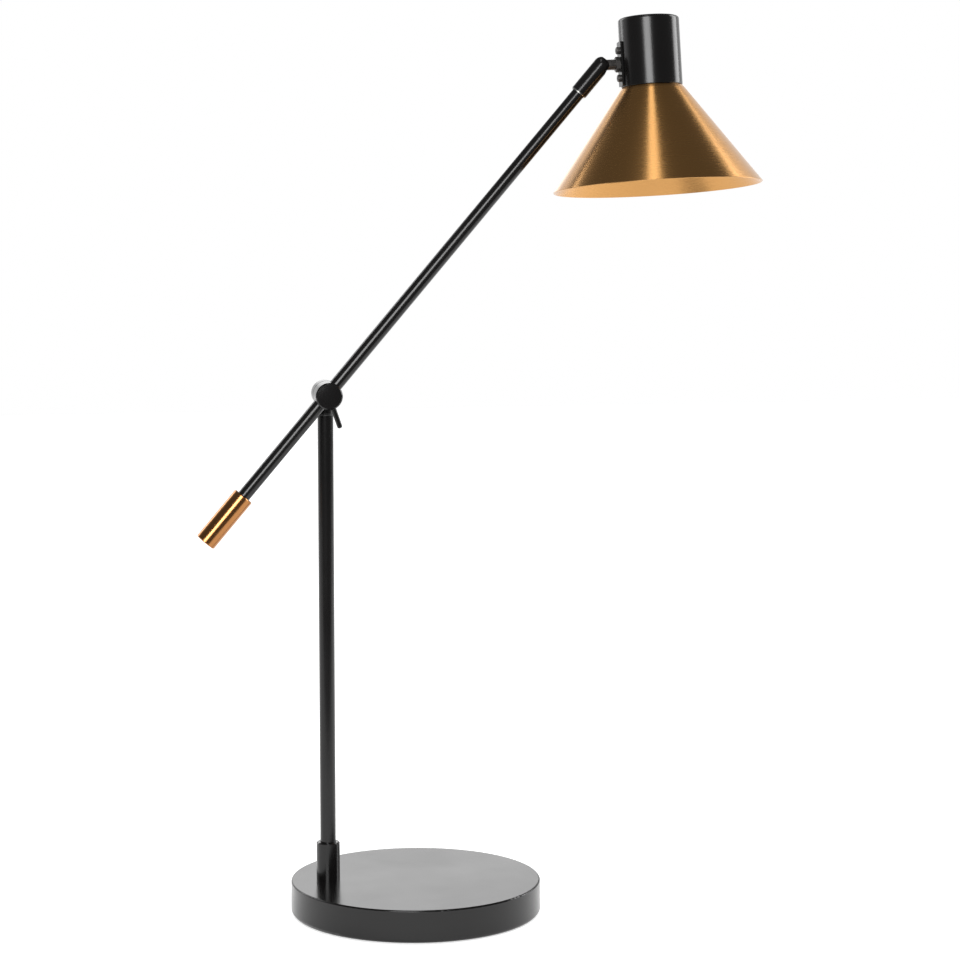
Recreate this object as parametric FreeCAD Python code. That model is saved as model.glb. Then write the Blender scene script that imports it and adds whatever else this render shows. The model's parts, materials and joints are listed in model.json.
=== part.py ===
import FreeCAD, Part
import math
import os

# Balanced-arm desk lamp with a cone shade. Millimetres and degrees, +Z up.
# The origin is the middle of the base's underside. The arm lies in a plane parallel to XZ,
# its head end towards +X, and the clamp knob of its pivot faces -Y.

# ---- Base ----
base_diameter = 192.0
base_height = 26.0
cover_wall = 1.5
cover_foot = 0.8            # the cover's rolled edge clears the table by this much
cover_top_round = 1.2
cover_foot_round = 3.0
cover_lip = 5.5             # how far the rolled edge reaches in under the weight
pad_thickness = 1.5
pad_inset = 9.0             # from the cover's outside to the pad's edge
base_plate_thickness = 1.0
base_plate_inset = 8.0
weight_recess_depth = 10.0
weight_rim_width = 16.0
weight_chamfer = 2.2
weight_recess_round = 2.0
plate_screw_radius = 2.0
plate_screw_head_radius = 3.6
plate_screw_head = 0.8
plate_screw_length = 8.0
plate_screw_count = 3
inlet_angle = 120.0         # cable inlet, counted from +X towards +Y
inlet_height = 9.0
inlet_straight = 8.0        # the leads run straight this far past the weight's rim
lead_start = 1.0            # the leads begin this far in from the bushing
bushing_radius = 4.0
bushing_flange_radius = 5.5
bushing_flange = 1.5
bushing_length = 9.0
bushing_bore_radius = 2.9
bushing_tip_round = 0.5
bushing_flange_round = 0.6

# ---- Post ----
post_inset = 28.5           # from the base's edge to the post's axis
base_turn = 9.8             # the base is turned this far under the lamp
post_diameter = 12.0
post_wall = 1.0
ferrule_diameter = 18.0
ferrule_height = 29.0
ferrule_floor = 9.0         # threaded foot of the ferrule, below the post's seat
ferrule_chamfer = 0.8
nipple_radius = 5.0
nipple_bore_radius = 3.5
nipple_below_nut = 1.8
base_nut_across_flats = 14.0
base_nut_thickness = 3.5
base_washer_radius = 8.5
base_washer_thickness = 1.2
grub_radius = 1.5
post_top_drop = 15.4        # from the pivot's axis down to the post's top face
bush_flange = 1.2
bush_length = 14.0
bush_bore_radius = 4.05
bush_edge_round = 0.3

# ---- Pivot on top of the post ----
pivot_height = 401.8
pivot_radius = 10.1
arm_offset = 13.8           # from the post's axis forward to the arm's
post_block_length = 11.4
block_edge_round = 0.4
block_back_round = 0.8
friction_washer_thickness = 0.8
friction_washer_radius = 9.3
arm_block_length = 13.8
arm_spigot_radius = 5.0
arm_spigot_bore_radius = 3.7
arm_spigot_length = 5.2
knob_washer_thickness = 0.4
knob_washer_radius = 8.8
knob_thickness = 4.5
knob_radius = 10.2
knob_chamfer = 0.9
knob_crown = 0.5
knob_back_round = 0.3
lever_angle = 19.0          # from straight down, towards +X
lever_radius = 2.0
lever_reach = 25.7          # from the pivot's axis to the lever's tip
lever_stud_radius = 1.5
lever_stud_length = 4.0
lever_root_round = 0.3
lever_tip_round = 1.8
clamp_bolt_radius = 2.0
bolt_head_across_flats = 6.8
bolt_head_thickness = 1.7
bolt_end_cover = 1.3        # knob metal left in front of the bolt's end
rear_wall = 1.4
chamber_depth = 7.3         # wire chamber, from the post block's front face
cap_radius = 5.9
cap_thickness = 0.9
cap_proud = 0.3             # the plug's face stands this far out of the drum
cap_round = 0.5
neck_radius = 5.25
swivel_washer_thickness = 0.5
swivel_washer_radius = 5.6
spigot_radius = 4.0
spigot_bore_radius = 2.6
neck_bore_radius = 3.6
neck_bore_taper = 2.0
spigot_below_bush = 3.5
clip_thickness = 0.8
clip_outer_radius = 4.75
clip_groove_radius = 3.3
clip_mouth_angle = 100.0

# ---- Arm ----
arm_angle = 49.6            # above the horizontal
arm_diameter = 10.0
arm_wall = 1.0
arm_reach = 323.5           # from the pivot's axis to the middle of the ball joint
weight_near = 98.7          # counterweight, distances from the pivot's axis down the arm
weight_far = 143.9
counterweight_diameter = 16.2
counterweight_chamfer = 0.6
counterweight_end = 5.5     # solid brass beyond the arm's end
counterweight_screw_from_mouth = 9.0

# ---- Knuckle at the arm's upper end ----
knuckle_radius = 6.45
knuckle_skirt = 27.1        # from the ball's middle down to the sleeve's mouth
knuckle_chamfer = 0.4
knuckle_web = 2.0
knuckle_web_depth = 13.1    # from the ball's middle down to the web's upper face
socket_radius = 5.3
ball_radius = 5.2
slot_gap = 0.15
ring_radius = 6.0
ring_thickness = 0.6
end_bush_length = 12.0
swivel_screw_radius = 3.0
swivel_screw_bore_radius = 1.9
swivel_screw_flange_radius = 4.6
swivel_screw_flange = 1.5
seat_depth = 8.0            # from the ball's middle down to the seat's underside
seat_top = 3.0
seat_bore_radius = 2.6
spring_plate = 0.5
spring_inner_radius = 3.3
spring_outer_radius = 5.0

# ---- Ball stud and its nuts ----
neck_rise = 2.2             # the stud points this far above the horizontal
neck_reach = 38.1           # from the ball's middle to the cup's axis
stem_radius = 4.0
stem_smooth = 7.1           # smooth neck, from the ball's middle
stem_thread_radius = 3.9
stem_tail_radius = 3.0      # through the plate, the cup and the strip
stem_bore_radius = 2.2
stem_flare_radius = 4.4
neck_nut_across_flats = 10.2
neck_nut_thickness = 3.5
lock_nut_across_flats = 9.0
lock_nut_thickness = 2.8
stem_past_lock_nut = 0.4
stem_shoulder_round = 0.4
stem_end_round = 0.3

# ---- Bracket and socket cup ----
head_turn = 6.7             # the head is turned this far about the stud
cup_radius = 23.2
cup_wall = 3.2
cup_top = 34.6              # above the stud's axis, along the cup's axis
cup_bottom = 17.4           # below it
cup_lid = 3.0
cup_top_round = 2.3
cup_mouth_round = 0.4
cup_lid_round = 1.0
plate_width = 12.0
plate_thickness = 1.5
plate_proud = 0.95          # its outer face, out from the cup's outside
plate_up = 17.0
plate_down = 16.6
plate_corner = 1.2
screw_spacing = 20.8
screw_radius = 1.5
screw_head_radius = 2.8
screw_head = 2.4
screw_head_round = 0.9
screw_past_strip = 0.6
nut_chamfer_angle = 30.0

# ---- Lampholder inside the cup ----
strip_width = 9.6
strip_thickness = 1.3
strip_bend_radius = 1.5
strip_down = 13.6
leg_height = 20.0           # underside of the strip's level leg, above the stud's axis
leg_past_axis = 8.0
holder_skirt_radius = 13.8
holder_mouth = 26.0         # below the stud's axis
holder_skirt_top = 12.0
holder_shoulder_radius = 16.0
holder_shoulder = 2.0
holder_body_radius = 11.5
holder_body_top = 12.0
holder_cavity_radius = 7.8
holder_cavity_top = 1.0
holder_ledge = 2.0          # shoulder in the bore, over the ceramic disc
holder_skirt_round = 0.8
holder_shoulder_round = 0.4
holder_cap_wall = 1.5
holder_cap_inner_round = 1.0
holder_cap_round = 2.5
shell_inner_radius = 7.0
shell_wall = 0.5
shell_mouth_inset = 1.5
shell_top = 6.0
shell_floor_hole_radius = 4.5
insert_top = 1.2
contact_radius = 1.6
contact_spring = 0.4
contact_round = 0.4
contact_rivet = 0.6          # the rivet stands this far past the ceramic disc
holder_nipple_radius = 5.0
holder_nipple_bore_radius = 3.6
holder_nipple_seat = 3.0
holder_nut_across_flats = 13.0
holder_nut_thickness = 2.8
holder_nipple_past_nut = 1.5
shade_ring_radius = 19.0
shade_ring_flange = 1.6
shade_ring_hub_radius = 16.2
shade_ring_height = 6.0
shade_ring_edge_round = 0.5
shade_ring_foot_round = 0.6

# ---- Shade ----
shade_rim_radius = 79.4
shade_neck_radius = 23.0
shade_height = 76.4
shade_wall = 0.9
shade_neck_round = 1.0

# ---- Leads ----
lead_radius = 0.6
lead_spacing = 1.9
lead_bend = 3.0
lead_entry = 3.0            # how far the leads reach in under the holder's cap

# ---- Clearances ----
running_gap = 0.05          # radial, a pin or shaft that turns in its bore
end_gap = 0.1               # along an axis, between pieces that turn on each other
seat_gap = 0.04             # radial, pieces pressed or screwed together
drill_gap = 0.2             # radial, a hole that a screw passes freely
cut_past = 1.0              # a cut runs this far past the metal that it leaves

# ---- Worked out from the sizes above ----
Vector = FreeCAD.Vector
Rotation = FreeCAD.Rotation
Placement = FreeCAD.Placement

base_radius = base_diameter / 2
post_offset = base_radius - post_inset
post_radius = post_diameter / 2
post_bore = post_radius - post_wall
arm_radius = arm_diameter / 2
arm_bore = arm_radius - arm_wall
weight_bottom = pad_thickness + base_plate_thickness
weight_top = base_height - cover_wall
weight_outer = base_radius - cover_wall - drill_gap
recess_top = weight_bottom + weight_recess_depth
recess_radius = weight_outer - weight_rim_width
nut_bottom = recess_top - base_washer_thickness - base_nut_thickness
nipple_bottom = nut_bottom - nipple_below_nut
ferrule_top = base_height + ferrule_height
post_bottom = base_height + ferrule_floor
post_top = pivot_height - post_top_drop
post_tube_top = post_top - bush_flange
bush_bottom = post_top - bush_length
clip_top = bush_bottom - end_gap
neck_bottom = post_top + swivel_washer_thickness + running_gap

# Along the pivot's axis, counted from the post's axis towards the back.
block_half = post_block_length / 2
arm_block_back = -block_half - friction_washer_thickness
arm_block_front = arm_block_back - arm_block_length
knob_back = arm_block_front - knob_washer_thickness
knob_front = knob_back - knob_thickness
chamber_end = -block_half + chamber_depth
head_seat = chamber_end + rear_wall

# Along the arm, counted from the ball's middle towards the head.
web_top = -knuckle_web_depth
web_bottom = web_top - knuckle_web
arm_end = web_bottom - end_gap
mouth = -knuckle_skirt

# Across the head, counted from the cup's axis towards the arm (negative X of the head).
plate_outer = cup_radius + plate_proud
plate_inner = plate_outer - plate_thickness
cup_inner = cup_radius - cup_wall
strip_outer = math.sqrt(cup_inner ** 2 - (strip_width / 2) ** 2) - seat_gap
strip_inner = strip_outer - strip_thickness
lock_nut_end = strip_inner - lock_nut_thickness
stem_end = neck_reach - lock_nut_end + stem_past_lock_nut
leg_top = leg_height + strip_thickness
nipple_top = leg_top + holder_nut_thickness + holder_nipple_past_nut

post_foot = Vector(
    -post_offset * math.cos(math.radians(base_turn)),
    post_offset * math.sin(math.radians(base_turn)),
    0,
)
post_frame = Placement(post_foot, Rotation())
pivot_centre = post_foot + Vector(0, 0, pivot_height)
pivot_frame = Placement(pivot_centre, Rotation(Vector(1, 0, 0), -90))
arm_frame = Placement(
    pivot_centre - Vector(0, arm_offset, 0),
    Rotation(Vector(0, 1, 0), 90 - arm_angle),
)
ball_frame = arm_frame.multiply(Placement(Vector(0, 0, arm_reach), Rotation()))
stud_frame = Placement(ball_frame.Base, Rotation(Vector(0, 1, 0), 90 - neck_rise))
head_rotation = Rotation(Vector(0, 1, 0), -neck_rise).multiply(Rotation(Vector(1, 0, 0), -head_turn))
head_frame = Placement(stud_frame.multVec(Vector(0, 0, neck_reach)), head_rotation)


# ---- Shape helpers ----
same_place = 1e-6           # points nearer than this are one point


def rounded_corner(before, corner, after, radius):
    """Start, middle and end of the arc that rounds one corner of an outline."""
    back = (before - corner).normalize()
    ahead = (after - corner).normalize()
    half = back.getAngle(ahead) / 2
    reach = radius / math.tan(half)
    middle = (back + ahead).normalize() * (radius / math.sin(half) - radius)
    return corner + back * reach, corner + middle, corner + ahead * reach


def path_edges(corners, closed):
    """Lines between corners, each (point, radius), with an arc where the radius isn't zero."""
    count = len(corners)
    edges = []
    stops = []
    for index, (corner, radius) in enumerate(corners):
        inside = closed or 0 < index < count - 1
        if radius > 0 and inside:
            before = corners[index - 1][0]
            after = corners[(index + 1) % count][0]
            stops.append(rounded_corner(before, corner, after, radius))
        else:
            stops.append((corner, corner, corner))
    for index, (start, middle, end) in enumerate(stops):
        if start.distanceToPoint(end) > same_place:
            edges.append(Part.Arc(start, middle, end).toShape())
        following = stops[(index + 1) % count][0]
        last = index == count - 1
        if (closed or not last) and end.distanceToPoint(following) > same_place:
            edges.append(Part.LineSegment(end, following).toShape())
    return edges


def face_of(corners):
    return Part.Face(Part.Wire(path_edges(corners, closed=True)))


def turned(*points):
    """Solid turned about Z from (radius, height) or (radius, height, corner radius) points."""
    corners = [(Vector(p[0], 0, p[1]), p[2] if len(p) > 2 else 0) for p in points]
    return face_of(corners).revolve(Vector(0, 0, 0), Vector(0, 0, 1), 360)


def tube(outer, inner, low, high):
    return turned((inner, low), (outer, low), (outer, high), (inner, high))


def rod(radius, low, high):
    return Part.makeCylinder(radius, high - low, Vector(0, 0, low))


def cross_rod(radius, start, end):
    """A round bar from one point to another."""
    return Part.makeCylinder(radius, start.distanceToPoint(end), start, end - start)


def hexagon(across_flats, low, high):
    """Hexagonal bar with its corners turned off at both ends, as on a nut."""
    corner_radius = across_flats / math.sqrt(3)
    points = []
    sides = 6
    for side in range(sides):
        angle = math.radians(360 / sides * side)
        point = Vector(corner_radius * math.cos(angle), corner_radius * math.sin(angle), low)
        points.append((point, 0))
    bar = face_of(points).extrude(Vector(0, 0, high - low))
    flat_radius = across_flats / 2
    rise = (corner_radius - flat_radius) * math.tan(math.radians(nut_chamfer_angle))
    dressing = turned(
        (0, low),
        (flat_radius, low),
        (corner_radius, low + rise),
        (corner_radius, high - rise),
        (flat_radius, high),
        (0, high),
    )
    return bar.common(dressing)


def lead_pair(points, bend, side):
    """Two leads side by side: one round wire along the points, copied to each side."""
    leads = []
    for sign in (-1, 1):
        corners = [(point + side * (sign * lead_spacing / 2), bend) for point in points]
        route = Part.Wire(path_edges(corners, closed=False))
        along = corners[1][0] - corners[0][0]
        ring = Part.Wire(Part.makeCircle(lead_radius, corners[0][0], along))
        leads.append(route.makePipeShell([ring], True, False))
    return Part.makeCompound(leads)


# ---- Base pieces, about the base's own axis ----
def around_base(radius, angle, height):
    turn = math.radians(angle)
    return Vector(radius * math.cos(turn), radius * math.sin(turn), height)


def base_cover():
    shell = turned(
        (0, base_height),
        (base_radius, base_height, cover_top_round),
        (base_radius, cover_foot, cover_foot_round),
        (base_radius - cover_lip, cover_foot),
        (base_radius - cover_lip, cover_foot + cover_wall),
        (base_radius - cover_wall, cover_foot + cover_wall, cover_foot_round - cover_wall),
        (base_radius - cover_wall, base_height - cover_wall),
        (0, base_height - cover_wall),
    )
    nipple_hole = rod(nipple_radius + drill_gap, 0, base_height).translate(post_foot)
    inlet = cross_rod(
        bushing_radius + seat_gap,
        around_base(base_radius - 2 * cover_wall, inlet_angle, inlet_height),
        around_base(base_radius + cover_wall, inlet_angle, inlet_height),
    )
    return shell.cut([nipple_hole, inlet])


def base_weight():
    """Cast disc, hollowed underneath for the nut and the leads."""
    disc = turned(
        (0, recess_top),
        (recess_radius, recess_top, weight_recess_round),
        (recess_radius, weight_bottom),
        (weight_outer - weight_chamfer, weight_bottom),
        (weight_outer, weight_bottom + weight_chamfer),
        (weight_outer, weight_top - cover_top_round),
        (weight_outer - cover_top_round, weight_top),
        (0, weight_top),
    )
    nipple_hole = rod(nipple_radius + drill_gap, weight_bottom, weight_top).translate(post_foot)
    channel = cross_rod(
        bushing_radius + drill_gap,
        around_base(recess_radius - weight_rim_width, inlet_angle, inlet_height),
        around_base(base_radius, inlet_angle, inlet_height),
    )
    cuts = [nipple_hole, channel]
    for centre in plate_screw_places():
        drilled = rod(plate_screw_radius + seat_gap, 0, plate_screw_length + cut_past)
        cuts.append(drilled.translate(centre))
    return disc.cut(cuts)


def plate_screw_places():
    ring = (recess_radius + base_radius - base_plate_inset) / 2
    step = 360 / plate_screw_count
    return [around_base(ring, inlet_angle + step * (n + 0.5), 0) for n in range(plate_screw_count)]


def base_plate():
    disc = rod(base_radius - base_plate_inset, pad_thickness, weight_bottom)
    countersink = turned(
        (0, 0),
        (plate_screw_head_radius + drill_gap, 0),
        (plate_screw_head_radius + drill_gap, pad_thickness),
        (plate_screw_radius + drill_gap, pad_thickness + plate_screw_head),
        (plate_screw_radius + drill_gap, base_height),
        (0, base_height),
    )
    return disc.cut([countersink.copy().translate(centre) for centre in plate_screw_places()])


def base_plate_screws():
    """Countersunk screws that hold the closing plate to the weight."""
    screw = turned(
        (0, pad_thickness),
        (plate_screw_head_radius, pad_thickness),
        (plate_screw_radius, pad_thickness + plate_screw_head),
        (plate_screw_radius, plate_screw_length),
        (0, plate_screw_length),
    )
    return Part.makeCompound([screw.copy().translate(centre) for centre in plate_screw_places()])


def base_pad():
    return rod(base_radius - pad_inset, 0, pad_thickness)


def cable_bushing():
    bushing = turned(
        (bushing_bore_radius, -bushing_length, 0),
        (bushing_radius, -bushing_length, bushing_tip_round),
        (bushing_radius, 0),
        (bushing_flange_radius, 0),
        (bushing_flange_radius, bushing_flange, bushing_flange_round),
        (bushing_bore_radius, bushing_flange),
    )
    outwards = Rotation(Vector(0, 0, 1), inlet_angle).multiply(Rotation(Vector(0, 1, 0), 90))
    bushing.Placement = Placement(around_base(base_radius, inlet_angle, inlet_height), outwards)
    return bushing


def supply_leads():
    """The leads inside the lamp, from the inlet under the weight and up the post."""
    start = around_base(base_radius - bushing_length - lead_start, inlet_angle, inlet_height)
    inside = around_base(recess_radius - inlet_straight, inlet_angle, inlet_height)
    turn = Vector(post_foot.x, post_foot.y, (weight_bottom + nipple_bottom) / 2)
    top = Vector(post_foot.x, post_foot.y, bush_bottom - spigot_below_bush - lead_radius)
    side = (turn - start).cross(Vector(0, 0, 1)).normalize()
    return lead_pair([start, inside, turn, top], lead_bend, side)


# ---- Post pieces, about the post's axis ----
def base_nipple():
    return tube(nipple_radius, nipple_bore_radius, nipple_bottom, post_bottom - end_gap)


def base_washer():
    low = recess_top - base_washer_thickness
    return tube(base_washer_radius, nipple_radius + drill_gap, low, recess_top)


def base_nut():
    nut = hexagon(base_nut_across_flats, nut_bottom, nut_bottom + base_nut_thickness)
    return nut.cut(rod(nipple_radius + seat_gap, 0, recess_top))


def base_ferrule():
    body = turned(
        (nipple_radius + seat_gap, base_height),
        (ferrule_diameter / 2, base_height),
        (ferrule_diameter / 2, ferrule_top - ferrule_chamfer),
        (ferrule_diameter / 2 - ferrule_chamfer, ferrule_top),
        (post_radius + seat_gap, ferrule_top),
        (post_radius + seat_gap, post_bottom),
        (nipple_radius + seat_gap, post_bottom),
    )
    return body.cut(ferrule_screw_bar(grub_radius + seat_gap, post_bore))


def ferrule_screw_bar(radius, inner):
    """Bar across the back of the ferrule, halfway up the post's seat."""
    height = (post_bottom + ferrule_top) / 2
    outer = ferrule_diameter / 2 - seat_gap
    return cross_rod(radius, Vector(0, inner, height), Vector(0, outer, height))


def ferrule_screw():
    return ferrule_screw_bar(grub_radius, post_radius)


def post_tube():
    return tube(post_radius, post_bore, post_bottom, post_tube_top)


def post_top_bush():
    return turned(
        (bush_bore_radius, bush_bottom),
        (post_bore - seat_gap, bush_bottom),
        (post_bore - seat_gap, post_tube_top),
        (post_radius, post_tube_top),
        (post_radius, post_top, bush_edge_round),
        (bush_bore_radius, post_top),
    )


def swivel_washer():
    return tube(swivel_washer_radius, bush_bore_radius, post_top, neck_bottom - running_gap)


# ---- Pivot pieces ----
def post_block():
    """Rear half of the pivot: a drum on a neck that turns in the post's top bush.

    The neck is drawn about the post's axis and the drum about the pivot's.
    """
    shank_bottom = bush_bottom - spigot_below_bush - pivot_height
    clip_level = clip_top - pivot_height
    shank = turned(
        (0, shank_bottom),
        (spigot_radius, shank_bottom),
        (spigot_radius, clip_level - clip_thickness),
        (clip_groove_radius, clip_level - clip_thickness),
        (clip_groove_radius, clip_level),
        (spigot_radius, clip_level),
        (spigot_radius, neck_bottom - pivot_height),
        (neck_radius, neck_bottom - pivot_height),
        (neck_radius, 0),
        (0, 0),
    )
    drum = turned(
        (0, -block_half),
        (pivot_radius, -block_half, block_edge_round),
        (pivot_radius, block_half, block_back_round),
        (0, block_half),
    )
    bores = [
        rod(arm_spigot_radius + running_gap, -block_half, chamber_end),
        rod(clamp_bolt_radius + seat_gap, -block_half, block_half),
        hexagon(bolt_head_across_flats + 2 * seat_gap, head_seat, block_half + cut_past),
        rod(cap_radius + seat_gap, block_half - cap_thickness, block_half),
    ]
    wire_bore = turned(
        (0, shank_bottom),
        (spigot_bore_radius, shank_bottom),
        (spigot_bore_radius, neck_bottom - pivot_height),
        (neck_bore_radius, neck_bottom - pivot_height + neck_bore_taper),
        (neck_bore_radius, 0),
        (0, 0),
    )
    across = Placement(Vector(), Rotation(Vector(1, 0, 0), -90))
    drum.Placement = across
    for bore in bores:
        bore.Placement = across.multiply(bore.Placement)
    block = shank.fuse(drum).cut(bores + [wire_bore])
    return block.removeSplitter()


def swivel_clip():
    """Open ring in the spigot's groove, under the bush."""
    ring = tube(clip_outer_radius, clip_groove_radius + seat_gap, clip_top - clip_thickness, clip_top)
    half = math.radians(clip_mouth_angle / 2)
    reach = 2 * clip_outer_radius
    low = clip_top - clip_thickness
    wedge = [
        Vector(0, 0, low),
        Vector(reach * math.cos(half), -reach * math.sin(half), low),
        Vector(reach * math.cos(half), reach * math.sin(half), low),
    ]
    mouth_cut = face_of([(point, 0) for point in wedge]).extrude(Vector(0, 0, clip_thickness))
    return ring.cut(mouth_cut)


def clamp_bolt():
    head = hexagon(bolt_head_across_flats, head_seat, head_seat + bolt_head_thickness)
    return head.fuse(rod(clamp_bolt_radius, knob_front + bolt_end_cover, head_seat)).removeSplitter()


def pivot_cap():
    """Shallow plug over the bolt's head at the back of the pivot."""
    low = block_half - cap_thickness
    high = block_half + cap_proud
    return turned((0, low), (cap_radius, low), (cap_radius, high, cap_round), (0, high))


def friction_washer():
    inner = arm_spigot_radius + running_gap
    return tube(friction_washer_radius, inner, arm_block_back + running_gap, -block_half)


def pivot_leads():
    """The leads' short way up the neck, round the bolt and forward into the arm."""
    shank_bottom = bush_bottom - spigot_below_bush - pivot_height
    ring_middle = (clamp_bolt_radius + arm_spigot_bore_radius) / 2
    front = -arm_offset + arm_bore
    leads = []
    for sign in (-1, 1):
        near = sign * lead_spacing / 2
        far = sign * ring_middle
        corners = [
            (Vector(near, 0, shank_bottom), 0),
            (Vector(near, 0, neck_bottom - pivot_height), lead_bend),
            (Vector(far, 0, 0), lead_bend),
            (Vector(far, front, 0), 0),
        ]
        route = Part.Wire(path_edges(corners, closed=False))
        ring = Part.Wire(Part.makeCircle(lead_radius, corners[0][0], Vector(0, 0, 1)))
        leads.append(route.makePipeShell([ring], True, False))
    return Part.makeCompound(leads)


def arm_block():
    """Front half of the pivot: a drum that the arm passes through, with a hollow spigot."""
    drum = turned(
        (0, arm_block_front),
        (pivot_radius, arm_block_front, block_edge_round),
        (pivot_radius, arm_block_back, block_edge_round),
        (arm_spigot_radius, arm_block_back),
        (arm_spigot_radius, arm_block_back + arm_spigot_length),
        (0, arm_block_back + arm_spigot_length),
    )
    bolt_bore = rod(clamp_bolt_radius + running_gap, arm_block_front, -arm_offset)
    wire_bore = rod(arm_spigot_bore_radius, -arm_offset, arm_block_back + arm_spigot_length)
    lean = math.radians(arm_angle)
    along = Vector(math.cos(lean), -math.sin(lean), 0)
    middle = Vector(0, 0, -arm_offset)
    reach = along * (2 * pivot_radius)
    arm_bore_bar = cross_rod(arm_radius + seat_gap, middle - reach, middle + reach)
    return drum.cut([bolt_bore, wire_bore, arm_bore_bar])


def knob_washer():
    inner = clamp_bolt_radius + running_gap
    return tube(knob_washer_radius, inner, knob_back, arm_block_front - running_gap)


def lever_direction():
    angle = math.radians(lever_angle)
    return Vector(math.sin(angle), math.cos(angle), 0)


def clamp_knob():
    """Round clamp knob with a turned rim and a slightly crowned face."""
    edge = knob_radius - knob_chamfer
    halfway = 0.5
    crown = Part.Arc(
        Vector(0, 0, knob_front - knob_crown),
        Vector(edge * halfway, 0, knob_front - knob_crown * (1 - halfway ** 2)),
        Vector(edge, 0, knob_front),
    ).toShape()
    rim = path_edges(
        [
            (Vector(edge, 0, knob_front), 0),
            (Vector(knob_radius, 0, knob_front + knob_chamfer), 0),
            (Vector(knob_radius, 0, knob_back), knob_back_round),
            (Vector(0, 0, knob_back), 0),
            (Vector(0, 0, knob_front - knob_crown), 0),
        ],
        closed=False,
    )
    body = Part.Face(Part.Wire([crown] + rim)).revolve(Vector(0, 0, 0), Vector(0, 0, 1), 360)
    bolt_bore = rod(clamp_bolt_radius + running_gap, knob_front + bolt_end_cover - end_gap, knob_back)
    level = Vector(0, 0, (knob_front + knob_back) / 2)
    socket = cross_rod(
        lever_stud_radius + seat_gap,
        level + lever_direction() * (knob_radius - lever_stud_length),
        level + lever_direction() * (knob_radius + cut_past),
    )
    return body.cut([bolt_bore, socket])


def clamp_lever():
    """Round bar with a domed tip, screwed radially into the knob."""
    bar = turned(
        (0, knob_radius - lever_stud_length + seat_gap),
        (lever_stud_radius, knob_radius - lever_stud_length + seat_gap),
        (lever_stud_radius, knob_radius + seat_gap),
        (lever_radius, knob_radius + seat_gap, lever_root_round),
        (lever_radius, lever_reach, lever_tip_round),
        (0, lever_reach),
    )
    level = Vector(0, 0, (knob_front + knob_back) / 2)
    bar.Placement = Placement(level, Rotation(Vector(0, 0, 1), lever_direction()))
    return bar


# ---- Arm pieces, about the arm's axis, counted from the pivot's axis ----
def arm_tube():
    body = tube(arm_radius, arm_bore, counterweight_end - weight_far, arm_reach + arm_end)
    bolt_hole = cross_rod(clamp_bolt_radius + 2 * running_gap, Vector(), Vector(0, -arm_diameter, 0))
    wire_hole = cross_rod(arm_spigot_bore_radius, Vector(), Vector(0, arm_diameter, 0))
    return body.cut([bolt_hole, wire_hole])


def counterweight():
    outer = counterweight_diameter / 2
    body = turned(
        (0, -weight_far),
        (outer - counterweight_chamfer, -weight_far),
        (outer, counterweight_chamfer - weight_far),
        (outer, -weight_near - counterweight_chamfer),
        (outer - counterweight_chamfer, -weight_near),
        (arm_radius + seat_gap, -weight_near),
        (arm_radius + seat_gap, counterweight_end - weight_far - end_gap),
        (0, counterweight_end - weight_far - end_gap),
    )
    return body.cut(counterweight_screw_bar(grub_radius + seat_gap, arm_bore))


def counterweight_screw_bar(radius, inner):
    level = -weight_near - counterweight_screw_from_mouth
    outer = counterweight_diameter / 2 - seat_gap
    return cross_rod(radius, Vector(0, inner, level), Vector(0, outer, level))


def counterweight_screw():
    return counterweight_screw_bar(grub_radius, arm_radius)


def arm_end_bush():
    top = arm_reach + arm_end
    return tube(arm_bore - seat_gap, swivel_screw_radius + seat_gap, top - end_bush_length, top)


def swivel_screw():
    """Hollow screw that holds the knuckle on the arm and lets it turn."""
    flange_low = arm_reach + web_top + end_gap
    return turned(
        (swivel_screw_bore_radius, arm_reach + arm_end - end_bush_length),
        (swivel_screw_radius, arm_reach + arm_end - end_bush_length),
        (swivel_screw_radius, flange_low),
        (swivel_screw_flange_radius, flange_low),
        (swivel_screw_flange_radius, flange_low + swivel_screw_flange),
        (swivel_screw_bore_radius, flange_low + swivel_screw_flange),
    )


def mouth_ring():
    """Pale bearing ring on the arm, just below the knuckle's mouth."""
    top = arm_reach + mouth - end_gap
    return tube(ring_radius, arm_radius + seat_gap, top - ring_thickness, top)


def arm_leads():
    side = Vector(0, 1, 0)
    low = clamp_bolt_radius + 2 * lead_radius
    high = arm_reach - ball_radius - end_gap
    return lead_pair([Vector(0, 0, low), Vector(0, 0, high)], 0, side)


# ---- Knuckle pieces, along the arm, counted from the ball's middle ----
def knuckle_body():
    """Sleeve with a domed, slotted end: the ball is held in it and the stud swings in the slot."""
    body = turned(
        (arm_radius + running_gap, mouth),
        (knuckle_radius - knuckle_chamfer, mouth),
        (knuckle_radius, mouth + knuckle_chamfer),
        (knuckle_radius, knuckle_radius, knuckle_radius),
        (0, knuckle_radius),
        (0, socket_radius),
        (socket_radius, socket_radius, socket_radius),
        (socket_radius, web_top),
        (swivel_screw_radius + running_gap, web_top),
        (swivel_screw_radius + running_gap, web_bottom),
        (arm_radius + running_gap, web_bottom),
    )
    half = stem_radius + slot_gap
    reach = 2 * knuckle_radius
    ahead = cross_rod(half, Vector(), Vector(0, 0, reach))
    aside = cross_rod(half, Vector(), Vector(reach, 0, 0))
    between = Part.makeBox(reach, 2 * half, reach, Vector(0, -half, 0))
    return body.cut([ahead, aside, between])


def ball_seat():
    """Cup that the spring presses up against the ball."""
    body = tube(socket_radius - seat_gap, seat_bore_radius, -seat_depth, -seat_top)
    return body.cut(Part.makeSphere(ball_radius + running_gap))


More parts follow.
